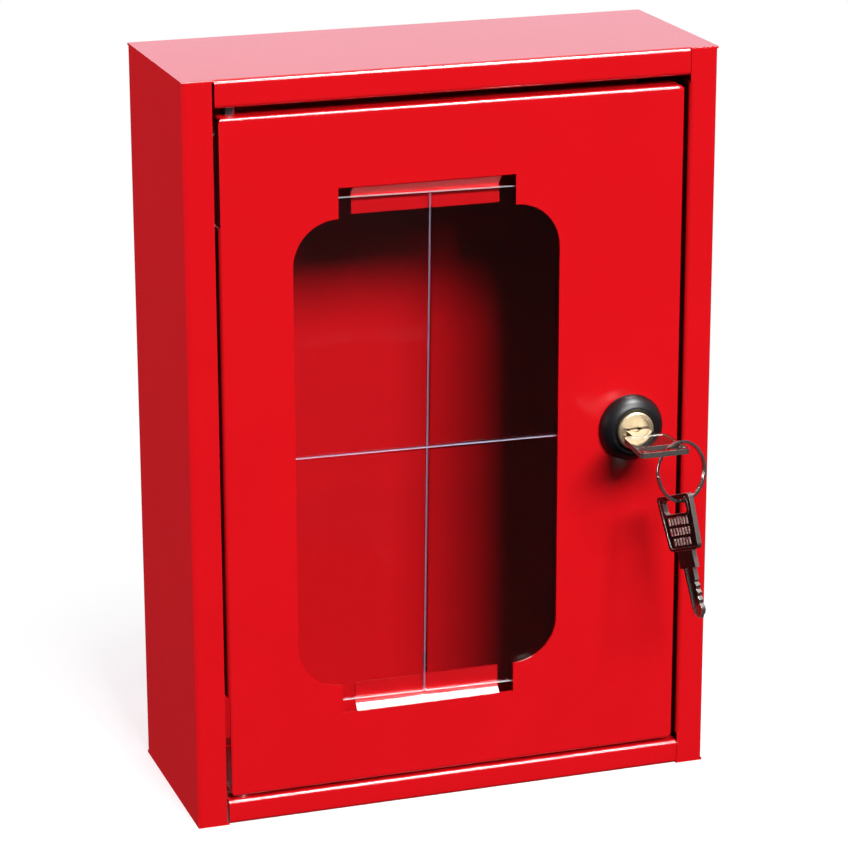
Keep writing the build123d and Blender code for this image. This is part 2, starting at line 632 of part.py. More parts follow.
# Keys. A key is modelled flat: width along X, thickness along Y and the bow
# towards +Z, with the origin at the shoulder, which stops in the lock's mouth.


def key_blank():
    """Flat key with a rimmed bow, ring slot, neck and bitted, grooved blade."""
    outer = BOW_WIDTH / 2
    inner = BOW_NECK_WIDTH / 2
    outline = make_face(Polyline(
        (-outer, BOW_OUTER_END), (outer, BOW_OUTER_END),
        (inner, BOW_INNER_END), (-inner, BOW_INNER_END), close=True,
    ))
    outline = fillet(outline.vertices().group_by(Axis.Y)[-1], BOW_CORNER)
    outline = fillet(outline.vertices().group_by(Axis.Y)[0], BOW_NECK_CORNER)
    slot = Pos(0, SLOT_CENTRE) * RectangleRounded(BOW_SLOT_WIDTH, BOW_SLOT_HEIGHT, BOW_SLOT_CORNER)
    bow = extrude(Plane.XZ * outline, amount=BOW_THICK / 2, both=True)
    field = offset(outline, -BOW_RIM) - offset(slot, BOW_RIM)
    for side in mirrored_pair(1):
        bow -= extrude(Plane.XZ.offset(side * BOW_THICK / 2) * field, amount=-side * BOW_RECESS)
    bow -= extrude(Plane.XZ * slot, amount=BOW_THICK, both=True)

    neck = block(
        -NECK_WIDTH / 2, NECK_WIDTH / 2, -BLADE_THICK / 2, BLADE_THICK / 2,
        0, NECK_LENGTH + BOW_RIM / 2,
    )
    half = BLADE_WIDTH / 2
    tip = -BLADE_LENGTH
    edge = [(half, BOW_RIM), (half, -BIT_FIRST + BIT_DEPTH)]
    for i in range(BIT_COUNT):
        z = -BIT_FIRST - BIT_PITCH * i
        edge += [(half - BIT_DEPTH, z), (half, z - BIT_PITCH / 2)]
    edge += [(half, tip + BLADE_TIP), (BLADE_POINT / 2, tip)]
    edge += [(-BLADE_POINT / 2, tip), (-half, tip + BLADE_TIP), (-half, BOW_RIM)]
    blade = extrude(Plane.XZ * make_face(Polyline(*edge, close=True)), amount=BLADE_THICK / 2, both=True)
    for side in mirrored_pair(1):
        x = side * BLADE_GROOVE_OFFSET
        face = side * BLADE_THICK / 2
        y0, y1 = sorted((face, face - side * BLADE_GROOVE_DEPTH))
        blade -= block(x - BLADE_GROOVE_WIDTH / 2, x + BLADE_GROOVE_WIDTH / 2, y0, y1, tip, 0)
    return bow + neck + blade


def door_key():
    """Key in the lock, its bow lying level."""
    seat = Plane(origin=(0, 0, KEY_SHOULDER), x_dir=(1, 0, 0), z_dir=(0, 0, 1))
    return in_lock(seat.location * key_blank())


# Split ring and spare key, hanging from the outer strip of the bow in the lock


def hang_frame():
    """Centre of the ring, then across the strip, level along it and up in the ring's plane."""
    yaw = radians(RING_YAW)
    lean = radians(RING_LEAN)
    across = Vector(cos(yaw), sin(yaw), 0)
    along = Vector(-sin(yaw), cos(yaw), 0)
    up = Vector(0, 0, 1) * cos(lean) + along * sin(lean)
    bow_right = LOCK_X + BOW_WIDTH_AT_SLOT / 2
    strip_top = LOCK_Z + BOW_THICK / 2
    half_strip = SIDE_STRIP / 2 / cos(yaw)
    drop = sqrt(RING_INNER**2 - half_strip**2)
    centre_x = bow_right - SIDE_STRIP / 2
    # The wire passes through the middle of the slot half way down the bow.
    pass_offset = (half_strip + sqrt(RING_MEAN**2 - (drop - BOW_THICK) ** 2)) / 2
    slot_y = FRONT - KEY_SHOULDER - SLOT_CENTRE
    centre_z = strip_top + RING_SEAT - drop * cos(lean)
    set_back = (LOCK_Z - centre_z) / cos(lean) * up.Y
    centre_y = slot_y + pass_offset * sin(yaw) - set_back
    return Vector(centre_x, centre_y, centre_z), across, along, up


def wire_section(angle, shift):
    """Flat wire's section at an angle round the ring, shifted along its axis."""
    face = Pos(RING_MEAN, shift) * Rectangle(RING_WIRE_RADIAL, RING_WIRE_AXIAL)
    return Rot(0, 0, angle) * (Plane.XZ * face)


def key_ring():
    """Split ring: two flat coils joined by the stretch that steps between them."""
    front_coil = RING_PITCH / 2
    step_end = RING_STEP_START + RING_STEP_SPAN
    turn = 360 - RING_STEP_SPAN - RING_END_GAP
    ring = revolve(wire_section(step_end + RING_END_GAP, front_coil), Axis.Z, revolution_arc=turn)
    ring += revolve(wire_section(step_end, -front_coil), Axis.Z, revolution_arc=turn)
    angles = [RING_STEP_START + RING_STEP_SPAN * i / RING_STEP_FACES for i in range(RING_STEP_FACES + 1)]
    shifts = [front_coil - RING_PITCH * i / RING_STEP_FACES for i in range(RING_STEP_FACES + 1)]
    ring += loft([wire_section(a, s) for a, s in zip(angles, shifts)], ruled=True)
    centre, across, _, up = hang_frame()
    return Plane(origin=centre, x_dir=across, z_dir=across.cross(up)).location * ring


def spare_key():
    """Second key, hanging by one corner of its slot from the bottom of the ring."""
    centre, _, along, up = hang_frame()
    wire = centre - up * RING_MEAN
    lean = radians(SPARE_LEAN)
    width_dir = Vector(0, 0, 1) * sin(lean) - along * cos(lean)
    bow_dir = Vector(0, 0, 1) * cos(lean) + along * sin(lean)
    hold = Pos(-SPARE_SLOT_OFFSET, 0, -(SLOT_OUTER_EDGE - SPARE_SEAT - RING_WIRE_RADIAL / 2))
    return Plane(origin=wire, x_dir=width_dir, z_dir=bow_dir).location * hold * key_blank()


def as_one(shape):
    """Single solid where the operations left one in a wrapper."""
    solids = shape.solids()
    return solids[0] if len(solids) == 1 else Compound(children=list(solids))


PARTS = {
    "case_wrap": case_wrap(),
    "top_panel": end_panel(TOP, MOUTH_TOP, Side.LEFT),
    "bottom_panel": end_panel(BOTTOM, MOUTH_BOTTOM, Side.RIGHT),
    "upper_hinge_pin": hinge_pin(MOUTH_TOP, -1, UPPER_PIN_REACH),
    "lower_hinge_pin": hinge_pin(MOUTH_BOTTOM, 1, LOWER_PIN_REACH),
    "hinge_washer": hinge_washer(),
    "hinge_spacer": hinge_spacer(),
    "door_panel": door_panel(),
    "break_pane": break_pane(),
    "lock_rosette": lock_rosette(),
    "lock_barrel": lock_barrel(),
    "lock_washer": lock_washer(),
    "lock_nut": lock_nut(),
    "lock_plug": lock_plug(),
    "lock_wafers": lock_wafers(),
    "stop_washer": stop_washer(),
    "lock_cam": lock_cam(),
    "cam_washer": cam_washer(),
    "cam_screw": cam_screw(),
    "door_key": door_key(),
    "key_ring": key_ring(),
    "spare_key": spare_key(),
}

os.makedirs("parts", exist_ok=True)
for name, shape in PARTS.items():
    export_step(as_one(shape), f"parts/{name}.step")
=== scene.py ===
"""Break glass valve box: the finishes, fine details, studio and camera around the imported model.

Everything is in metres in the part's own frame: X to the right, Y from the front to the wall,
Z upwards, with the origin at the centre of the rear face. Fields that end in _mm are millimetres.
"""

import logging
import math
from dataclasses import dataclass
from enum import Enum, IntEnum
from typing import Any

import bpy
from mathutils import Matrix, Vector


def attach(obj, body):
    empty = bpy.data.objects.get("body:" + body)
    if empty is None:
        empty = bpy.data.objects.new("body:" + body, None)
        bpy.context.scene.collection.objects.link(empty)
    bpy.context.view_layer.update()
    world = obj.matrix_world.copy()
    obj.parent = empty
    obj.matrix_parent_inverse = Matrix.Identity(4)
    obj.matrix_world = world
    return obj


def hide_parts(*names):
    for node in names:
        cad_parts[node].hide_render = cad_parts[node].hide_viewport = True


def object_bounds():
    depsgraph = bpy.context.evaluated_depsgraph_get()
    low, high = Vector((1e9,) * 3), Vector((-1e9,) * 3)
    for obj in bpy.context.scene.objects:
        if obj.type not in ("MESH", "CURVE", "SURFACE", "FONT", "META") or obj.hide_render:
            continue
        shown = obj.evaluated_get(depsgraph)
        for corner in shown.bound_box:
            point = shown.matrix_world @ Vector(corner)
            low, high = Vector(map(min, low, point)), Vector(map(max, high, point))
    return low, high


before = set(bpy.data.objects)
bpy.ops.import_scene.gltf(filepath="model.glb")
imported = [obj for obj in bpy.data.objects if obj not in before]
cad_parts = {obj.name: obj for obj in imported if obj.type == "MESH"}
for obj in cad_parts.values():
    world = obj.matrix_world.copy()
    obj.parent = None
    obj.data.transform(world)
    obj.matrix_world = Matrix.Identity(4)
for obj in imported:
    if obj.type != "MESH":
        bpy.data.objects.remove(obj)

CAD_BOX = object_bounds()
NODES: dict[str, bpy.types.Object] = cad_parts
MM = 0.001
LOG = logging.getLogger("valve_box")
WHITE = (1, 1, 1, 1)
CASE_FRONT_MM = -92.0
CASE_TOP_MM = 167.0


class Slot(Enum):
    """Names of three material slots: red paint, nickel and the clear pane."""

    RED_PAINT = "red_paint"
    NICKEL = "nickel"
    CLEAR_PANE = "clear_pane"


class PaneFace(IntEnum):
    """Numbers of the finishes on the pane."""

    POLISHED = 0
    SAWN = 1
    SCORED = 2


class KeyFace(IntEnum):
    """Numbers of the finishes on a key."""

    FLAT = 0
    WORN_AND_HIGHLIGHT = 1
    SUNK = 2
    BLANKED = 3


def to_linear(hex_colour: str) -> tuple[float, float, float, float]:
    """Turn an sRGB hex colour into linear light.

    Args:
        hex_colour: Six hex digits, such as "C8102E".

    Returns:
        Red, green, blue and an alpha of 1.
    """
    channels = [int(hex_colour[i:i + 2], 16) / 255 for i in (0, 2, 4)]
    red, green, blue = [c / 12.92 if c <= 0.04045 else ((c + 0.055) / 1.055) ** 2.4 for c in channels]
    return (red, green, blue, 1.0)


def add_node(tree: bpy.types.NodeTree, kind: str, inputs: dict[Any, Any] | None = None,
             **settings: Any) -> Any:
    """Add a shader node, set its properties and fill its inputs.

    Args:
        tree: Node tree that takes the node.
        kind: Name of the node type without "ShaderNode".
        inputs: Input name or number to a value, or to the output socket that feeds it.
        settings: Properties of the node.

    Returns:
        The new node.
    """
    made = tree.nodes.new(f"ShaderNode{kind}")
    for name, value in settings.items():
        setattr(made, name, value)
    for name, value in (inputs or {}).items():
        if isinstance(value, bpy.types.NodeSocket):
            tree.links.new(value, made.inputs[name])
        else:
            made.inputs[name].default_value = value
    return made


def new_material(name: str) -> tuple[bpy.types.Material, bpy.types.NodeTree]:
    """Make an empty node material.

    Args:
        name: Name of the finish.

    Returns:
        The material and its cleared node tree.
    """
    material = bpy.data.materials.new(name)
    material.use_nodes = True
    material.node_tree.nodes.clear()
    return material, material.node_tree


def compute(tree: bpy.types.NodeTree, operation: str, *values: Any) -> Any:
    """Add a node that computes with one to three numbers.

    Args:
        tree: Node tree that takes the node.
        operation: Name of the operation.
        values: Numbers, or sockets that carry them.

    Returns:
        Socket of the result.
    """
    return add_node(tree, "Math", dict(enumerate(values)), operation=operation).outputs[0]


def noise(tree: bpy.types.NodeTree, place: Any, size_mm: float, detail: float) -> Any:
    """Add a soft random pattern.

    Args:
        tree: Node tree that takes the node.
        place: Socket of the object coordinates.
        size_mm: Size of the pattern's blots.
        detail: Number of finer patterns laid over it.

    Returns:
        Socket of the pattern, from 0 to 1.
    """
    inputs = {"Vector": place, "Scale": 1 / (size_mm * MM), "Detail": detail}
    return add_node(tree, "TexNoise", inputs).outputs["Fac"]


def spread(tree: bpy.types.NodeTree, value: Any, low: float, high: float, first: float = 0.0,
           last: float = 1.0, kind: str = "LINEAR") -> Any:
    """Add a node that maps a range of a value to another range.

    Args:
        tree: Node tree that takes the node.
        value: Socket of the value.
        low: Result where the value is first or less.
        high: Result where the value is last or more.
        first: Start of the value's range.
        last: End of the value's range.
        kind: How the result runs from low to high.

    Returns:
        Socket of the result.
    """
    inputs = {"Value": value, "From Min": first, "From Max": last, "To Min": low, "To Max": high}
    return add_node(tree, "MapRange", inputs, interpolation_type=kind).outputs[0]


def blend(tree: bpy.types.NodeTree, share: Any, first: str, second: str) -> Any:
    """Add a node that blends two colours.

    Args:
        tree: Node tree that takes the node.
        share: Socket of the second colour's share.
        first: Hex colour where the share is 0.
        second: Hex colour where the share is 1.

    Returns:
        Socket of the colour.
    """
    inputs = {0: share, 6: to_linear(first), 7: to_linear(second)}
    return add_node(tree, "Mix", inputs, data_type="RGBA").outputs[2]


def relief(tree: bpy.types.NodeTree, height: Any, depth_mm: float) -> Any:
    """Add a node that turns a pattern into fine hills and hollows.

    Args:
        tree: Node tree that takes the node.
        height: Socket of the pattern.
        depth_mm: Height where the pattern is 1.

    Returns:
        Socket of the bent surface normal.
    """
    return add_node(tree, "Bump", {"Height": height, "Distance": depth_mm * MM, "Strength": 1.0}).outputs[0]


def surface(tree: bpy.types.NodeTree, inputs: dict[str, Any]) -> Any:
    """Add the main surface shader.

    Args:
        tree: Node tree that takes the node.
        inputs: Input name to a value, or to the socket that feeds it.

    Returns:
        Socket of the shader.
    """
    return add_node(tree, "BsdfPrincipled", inputs).outputs[0]


@dataclass(frozen=True)
class Finish:
    """Surface of one material, as one way of working leaves it."""

    name: str

    def shade(self, tree: bpy.types.NodeTree, place: Any) -> Any:
        """Build the finish's shader.

        Args:
            tree: Empty node tree of the material.
            place: Socket of the object coordinates, which carry all patterns at their real size.

        Returns:
            Socket of the shader.
        """
        raise NotImplementedError

    def material(self) -> bpy.types.Material:
        """Make a material of the finish.

        Returns:
            The material.
        """
        material, tree = new_material(self.name)
        shader = self.shade(tree, add_node(tree, "TexCoord").outputs["Object"])
        add_node(tree, "OutputMaterial", {"Surface": shader})
        return material


@dataclass(frozen=True)
class PowderCoat(Finish):
    """Polyester powder coat, sprayed on steel sheet and baked.

    It flows out glossy but keeps a fine orange peel, so that a grazing reflection breaks up
    into a grain while a square view shows one even, strong colour. Folds keep a hard, thin
    highlight.
    """

    name: str = "powder_coated_sheet_steel"
    colour: str = "E8121B"
    colour_thin: str = "E01019"
    cloud_mm: float = 35.0
    peel_mm: float = 0.6
    peel_height_mm: float = 0.008
    roughness: tuple[float, float] = (0.11, 0.16)
    sheen: tuple[float, float] = (0.4, 0.6)
    sheen_from: tuple[float, float] = (0.3, 0.7)
    refraction: float = 1.55

    def shade(self, tree: bpy.types.NodeTree, place: Any) -> Any:
        """Build the coat's shader.

        Args:
            tree: Empty node tree of the material.
            place: Socket of the object coordinates.

        Returns:
            Socket of the shader.
        """
        peel = noise(tree, place, self.peel_mm, 2.0)
        cloud = noise(tree, place, self.cloud_mm, 3.0)
        return surface(tree, {
            "Base Color": blend(tree, cloud, self.colour, self.colour_thin),
            "Roughness": spread(tree, cloud, *self.roughness),
            "Normal": relief(tree, peel, self.peel_height_mm),
            "IOR": self.refraction,
            "Specular IOR Level": spread(tree, peel, *self.sheen, *self.sheen_from),
        })


@dataclass(frozen=True)
class Metal(Finish):
    """Solid metal with a plated, rolled or blanked surface.

    Stains vary its colour and roughness, and a fine grain keeps a highlight from running clean
    over it.
    """

    colour: str
    colour_dark: str
    roughness: float
    grain_mm: float = 0.35
    grain_height_mm: float = 0.004
    stain_mm: float = 4.0
    roughness_swing: float = 0.3

    def shade(self, tree: bpy.types.NodeTree, place: Any) -> Any:
        """Build the metal's shader.

        Args:
            tree: Empty node tree of the material.
            place: Socket of the object coordinates.

        Returns:
            Socket of the shader.
        """
        stain = noise(tree, place, self.stain_mm, 4.0)
        smooth = self.roughness * (1 - self.roughness_swing)
        rough = self.roughness * (1 + self.roughness_swing)
        return surface(tree, {
            "Base Color": blend(tree, stain, self.colour, self.colour_dark),
            "Metallic": 1.0,
            "Roughness": spread(tree, stain, smooth, rough),
            "Normal": relief(tree, noise(tree, place, self.grain_mm, 3.0), self.grain_height_mm),
        })


@dataclass(frozen=True)
class MouldedPlastic(Finish):
    """Black ABS, injection moulded in a finely spark-eroded mould: satin, with soft highlights."""

    name: str = "moulded_black_abs"
    colour: str = "0F0E12"
    roughness: tuple[float, float] = (0.32, 0.44)
    grain_mm: float = 0.25
    grain_height_mm: float = 0.004
    refraction: float = 1.46

    def shade(self, tree: bpy.types.NodeTree, place: Any) -> Any:
        """Build the plastic's shader.

        Args:
            tree: Empty node tree of the material.
            place: Socket of the object coordinates.

        Returns:
            Socket of the shader.
        """
        grain = noise(tree, place, self.grain_mm, 2.0)
        return surface(tree, {
            "Base Color": to_linear(self.colour),
            "Roughness": spread(tree, grain, *self.roughness),
            "IOR": self.refraction,
            "Normal": relief(tree, grain, self.grain_height_mm),
        })


@dataclass(frozen=True)
class ClearAcrylic(Finish):
    """Cast acrylic sheet with the polished face of its glass mould: water-clear, with faint rub marks."""

    name: str = "cast_clear_acrylic"
    colour: str = "F8FAFA"
    rub_mm: float = 6.0
    roughness: tuple[float, float] = (0.006, 0.015)
    refraction: float = 1.49

    def shade(self, tree: bpy.types.NodeTree, place: Any) -> Any:
        """Build the acrylic's shader, which lets lamps through as the thin sheet does.

        Args:
            tree: Empty node tree of the material.
            place: Socket of the object coordinates.

        Returns:
            Socket of the shader.
        """
        sheet = surface(tree, {
            "Base Color": to_linear(self.colour),
            "Roughness": spread(tree, noise(tree, place, self.rub_mm, 5.0), *self.roughness),
            "IOR": self.refraction,
            "Transmission Weight": 1.0,
        })
        rays = add_node(tree, "LightPath").outputs
        lamp = compute(tree, "MAXIMUM", rays["Is Shadow Ray"], rays["Is Diffuse Ray"])
        through = add_node(tree, "BsdfTransparent", {"Color": to_linear(self.colour)})
        return add_node(tree, "MixShader", {0: lamp, 1: sheet, 2: through.outputs[0]}).outputs[0]


@dataclass(frozen=True)
class WornAcrylic(Finish):
    """Acrylic whose surface a saw or a scoring blade has torn: a pale, frosted, see-through white.

    In front of torn_from_mm the blade has only pushed the sheet aside, and it stays clear there.
    """

    colour: str
    clear: float
    torn_from_mm: float = -200.0
    ragged_mm: float = 0.2
    grain_mm: float = 0.3
    grain_height_mm: float = 0.05
    roughness: float = 0.45
    refraction: float = 1.49
    colour_pushed: str = "E6E0EA"

    def shade(self, tree: bpy.types.NodeTree, place: Any) -> Any:
        """Build the torn acrylic's shader.

        Args:
            tree: Empty node tree of the material.
            place: Socket of the object coordinates.

        Returns:
            Socket of the shader.
        """
        grain = noise(tree, place, self.grain_mm, 4.0)
        frosted = surface(tree, {
            "Base Color": to_linear(self.colour),
            "Roughness": self.roughness,
            "IOR": self.refraction,
            "Transmission Weight": self.clear,
            "Normal": relief(tree, grain, self.grain_height_mm),
        })
        depth = add_node(tree, "SeparateXYZ", {0: place}).outputs["Y"]
        ragged = compute(tree, "MULTIPLY_ADD", grain, self.ragged_mm * MM, depth)
        torn = compute(tree, "GREATER_THAN", ragged, self.torn_from_mm * MM)
        pushed = add_node(tree, "BsdfTransparent", {"Color": to_linear(self.colour_pushed)})
        return add_node(tree, "MixShader", {0: torn, 1: pushed.outputs[0], 2: frosted}).outputs[0]


@dataclass(frozen=True)
class TurnedBrass(Finish):
    """Brass faced on a lathe: fine rings round the lock's axis spread each highlight sideways."""

    name: str = "lathe_faced_brass"
    colour: str = "EBDDBF"
    colour_dark: str = "CFB88C"
    roughness: tuple[float, float] = (0.34, 0.52)
    axis_mm: tuple[float, float, float] = (81.65, 0.0, -1.75)
    ring_mm: float = 0.22
    ring_share: float = 0.3
    stain_mm: float = 1.6
    height_mm: float = 0.01

    def shade(self, tree: bpy.types.NodeTree, place: Any) -> Any:
        """Build the brass's shader.

        Args:
            tree: Empty node tree of the material.
            place: Socket of the object coordinates.

        Returns:
            Socket of the shader.
        """
        flat = add_node(tree, "VectorMath", {0: place, 1: (1, 0, 1)}, operation="MULTIPLY")
        from_axis = add_node(
            tree, "VectorMath", {0: flat.outputs[0], 1: Vector(self.axis_mm) * MM}, operation="SUBTRACT",
        )
        radius = add_node(tree, "VectorMath", {0: from_axis.outputs[0]}, operation="LENGTH")
        phase = compute(tree, "MULTIPLY", radius.outputs["Value"], 2 * math.pi / (self.ring_mm * MM))
        ring = compute(tree, "SINE", phase)
        stain = noise(tree, place, self.stain_mm, 5.0)
        height = compute(tree, "MULTIPLY_ADD", ring, self.ring_share, stain)
        return surface(tree, {
            "Base Color": blend(tree, stain, self.colour, self.colour_dark),
            "Metallic": 1.0,
            "Roughness": spread(tree, stain, *self.roughness),
            "Normal": relief(tree, height, self.height_mm),
        })


# Painted shade: a dark red on the faces in the hollow that turn away from the open front.
PAINTED_SHADE_COAT = PowderCoat("powder_coat_with_painted_shade_in_the_hollow", "6E070C", "5A060A")
# Zinc plate: a cool, slightly cloudy shine.
ZINC = Metal("zinc_plated_steel", "DAD9D6", "A9A9A8", 0.2)
# Nickel over rolled strip: flats that mirror the door.
NICKEL = Metal("nickel_plated_key_blank", "B7B0A7", "857F78", 0.1)
# Drawn and polished spring wire: small, bright glints.
WIRE = Metal("polished_spring_wire", "F2EFE8", "CFCBC2", 0.1, 0.5, 0.01)
# Nickel rubbed by a pocket: bright, softened rims.
# Nickel worn by a pocket on the rims and bars, painted lighter than the flats: real wear and a painted
# highlight.
WORN_AND_HIGHLIGHT = Metal("worn_nickel_with_painted_highlight", "F4EFE6", "D6D0C6", 0.28, 0.5, 0.02)
# Painted shade: the sunk field behind the stamping is a nearly black nickel, standing in for its shade and
# dark reflection.
SUNK = Metal("nickel_painted_with_shade_in_the_stamping", "3E3538", "221C20", 0.3)
# Edge torn by the blanking tool: grey and matt, with a coarse grain.
BLANKED = Metal("blanked_key_edge", "8B8681", "4A4644", 0.5, 0.5, 0.08)
# Sawn edge of the pane: a white line round it.
SAWN = WornAcrylic("sawn_acrylic_edge", "F4F2F6", 0.3)
# Scored line: torn and lilac-grey only at its bottom, so that it reads as a thin line.
SCORED = WornAcrylic("scored_acrylic_groove", "B9A6C4", 0.6, -90.15)


def dress(node: str, material: bpy.types.Material) -> None:
    """Give a CAD node a material in all its slots.

    Args:
        node: Name of the node.
        material: Its finish.
    """
    data = NODES[node].data
    if not data.materials:
        data.materials.append(material)
    for i in range(len(data.materials)):
        data.materials[i] = material
    LOG.info("dressed %s in %s", node, material.name)


def fill_slots(piece: bpy.types.Object, finishes: tuple[bpy.types.Material, ...]) -> None:
    """Replace a piece's materials.

    Args:
        piece: Piece that takes the materials.
        finishes: Materials in the order of their numbers on the faces.
    """
    piece.data.materials.clear()
    for material in finishes:
        piece.data.materials.append(material)


def select_only(*objects: bpy.types.Object) -> None:
    """Select some objects alone and make the first one active.

    Args:
        objects: Objects to select.
    """
    bpy.ops.object.select_all(action="DESELECT")
    for o in objects:
        o.select_set(True)
    bpy.context.view_layer.objects.active = objects[0]


def merged_copy(node: str, name: str, weld_mm: float = 0.002, flat_deg: float = 0.5) -> bpy.types.Object:
    """Copy a CAD node with its faces joined into one skin.

    Args:
        node: Name of the node.
        name: Name of the copy.
        weld_mm: Distance under which two vertices are one.
        flat_deg: Angle under which two faces are one.

    Returns:
        The copy, selected and active.
    """
    piece = bpy.data.objects.new(name, NODES[node].data.copy())
    bpy.context.scene.collection.objects.link(piece)
    select_only(piece)
    bpy.ops.object.mode_set(mode="EDIT")
    bpy.ops.mesh.select_all(action="SELECT")
    bpy.ops.mesh.remove_doubles(threshold=weld_mm * MM)
    bpy.ops.mesh.dissolve_limited(angle_limit=math.radians(flat_deg))
    bpy.ops.object.mode_set(mode="OBJECT")
    if piece.data.has_custom_normals:
        bpy.ops.mesh.customdata_custom_splitnormals_clear()
    return piece


def settle_flats(piece: bpy.types.Object, least_mm2: float = 20.0, square: float = 0.9999) -> None:
    """Keep the shading of the large flat faces true right up to their rounded edges.

    Args:
        piece: Object whose corner normals are set.
        least_mm2: Smallest area of a face that counts as a flat.
        square: Smallest share of the normal along X, Y or Z of a face that counts as a flat.
    """
    data = piece.data
    normals = [corner.vector.copy() for corner in data.corner_normals]
    for polygon in data.polygons:
        if polygon.area > least_mm2 * MM ** 2 and max(abs(c) for c in polygon.normal) > square:
            for i in polygon.loop_indices:
                normals[i] = polygon.normal.copy()
    data.normals_split_custom_set(normals)


@dataclass(frozen=True)
class Rounding:
    """Rounding of a piece's sharp edges, or of one straight edge alone."""

    width_mm: float
    sharp_deg: float = 35.0
    segments: int = 2
    flat_weight: int = 80
    line_mm: tuple[float, float] | None = None
    line_reach_mm: float = 0.02

    def mark_line(self, piece: bpy.types.Object) -> None:
        """Mark the edges on the line along X at line_mm (Y and Z), to be rounded alone.

        Args:
            piece: Piece that is rounded.
        """
        line = Vector(self.line_mm) * MM
        weights = piece.data.attributes.new("bevel_weight_edge", "FLOAT", "EDGE")
        for edge in piece.data.edges:
            ends = [piece.data.vertices[i].co.yz for i in edge.vertices]
            if all((end - line).length < self.line_reach_mm * MM for end in ends):
                weights.data[edge.index].value = 1.0

    def apply(self, piece: bpy.types.Object, face_number: int) -> None:
        """Round the edges and smooth the shading over them.

        Args:
            piece: Piece that is rounded.
            face_number: Material number of the new faces, or -1 for that of their neighbours.
        """
        if self.line_mm:
            self.mark_line(piece)
        bevel = piece.modifiers.new("rounding", "BEVEL")
        bevel.width = self.width_mm * MM
        bevel.segments = self.segments
        bevel.limit_method = "WEIGHT" if self.line_mm else "ANGLE"
        bevel.angle_limit = math.radians(self.sharp_deg)
        bevel.use_clamp_overlap = True
        bevel.harden_normals = False
        bevel.material = face_number
        bpy.ops.object.modifier_apply(modifier=bevel.name)
        bpy.ops.object.shade_smooth_by_angle(angle=math.radians(self.sharp_deg))
        even = piece.modifiers.new("even_flats", "WEIGHTED_NORMAL")
        even.mode = "FACE_AREA"
        even.weight = self.flat_weight
        even.keep_sharp = True
        bpy.ops.object.modifier_apply(modifier=even.name)
        settle_flats(piece)


def rounded_copy(node: str, rounding: Rounding, body: str,
                 finishes: tuple[bpy.types.Material, ...]) -> bpy.types.Object:
    """Copy a CAD node and round its sharp edges, to stand for it.

    Args:
        node: Name of the node.
        rounding: How its edges are rounded.
        body: Body that the copy rides on.
        finishes: Finish of the faces, then that of the rounded edges if it differs.

    Returns:
        The copy, which replaces the node.
    """
    piece = merged_copy(node, f"{node}_rounded")
    fill_slots(piece, finishes)
    rounding.apply(piece, 1 if len(finishes) > 1 else -1)
    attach(piece, body)
    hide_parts(node)
    LOG.info("rounded %s by %.2f mm", node, rounding.width_mm)
    return piece


@dataclass
class SheetCase:
    """Folded case and door in one powder coat, with a dark red painted shade on the hollow's faces that turn
    from the front.
    """

    rounding: Rounding = Rounding(0.3)
    lid_rounding: Rounding = Rounding(0.5, line_mm=(CASE_FRONT_MM, CASE_TOP_MM))
    hollow_half_mm: tuple[float, float] = (119.4, 166.4)
    hollow_depth_mm: tuple[float, float] = (-91.8, -0.5)
    facing: float = -0.3
    upward: float = 0.5
    shallow_mm: float = -80.0
    lid_node: str = "top_panel"
    case_nodes: tuple[str, ...] = ("case_wrap", "top_panel", "bottom_panel")
    door_nodes: tuple[str, ...] = ("door_panel",)

    def gets_painted_shade(self, centre: Vector, normal: Vector) -> bool:
        """Tell whether a face lies in the hollow and turns away from the open front, where it takes painted
        shade.

        Upward faces near the front keep the full colour.

        Args:
            centre: Centre of the face.
            normal: Its outward normal.

        Returns:
            True where the dark red painted shade goes.
        """
        wide, high = self.hollow_half_mm
        front, rear = self.hollow_depth_mm
        if normal.z > self.upward and centre.y < self.shallow_mm * MM:
            return False
        across = abs(centre.x) < wide * MM and abs(centre.z) < high * MM
        return across and front * MM < centre.y < rear * MM and normal.y > self.facing

    def build(self, coat: bpy.types.Material, painted_shade_coat: bpy.types.Material) -> None:
        """Round the sheet edges and paint them.

        Args:
            coat: Full powder coat.
            painted_shade_coat: Dark red painted shade for the faces in the hollow that turn away from the
                open front.
        """
        for body, nodes in (("case", self.case_nodes), ("door", self.door_nodes)):
            for node in nodes:
                rounding = self.lid_rounding if node == self.lid_node else self.rounding
                piece = rounded_copy(node, rounding, body, (coat,))
                # Faces in the hollow that turn from the front take the dark red painted shade.
                piece.data.materials.append(painted_shade_coat)
                for polygon in piece.data.polygons:
                    polygon.material_index = int(self.gets_painted_shade(polygon.center, polygon.normal))


@dataclass
class PaneSheet:
    """Break-out pane: polished faces, sawn edges and a torn white score along both lines."""

    node: str = "break_pane"
    face_slope: float = 0.97
    edge_slope: float = 0.05

    def build(self, face: bpy.types.Material, edge: bpy.types.Material, score: bpy.types.Material) -> None:
        """Copy the pane and give its edges and its score lines their own finish.

        Args:
            face: Polished sheet.
            edge: Sawn edge.
            score: Scored groove.
        """
        piece = merged_copy(self.node, "pane_sheet")
        fill_slots(piece, (face, edge, score))
        for polygon in piece.data.polygons:
            slope = abs(polygon.normal.y)
            kind = PaneFace.SAWN if slope < self.edge_slope else PaneFace.SCORED
            polygon.material_index = PaneFace.POLISHED if slope > self.face_slope else kind
            polygon.use_smooth = False
        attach(piece, "door")
        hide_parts(self.node)
        LOG.info("dressed the pane")


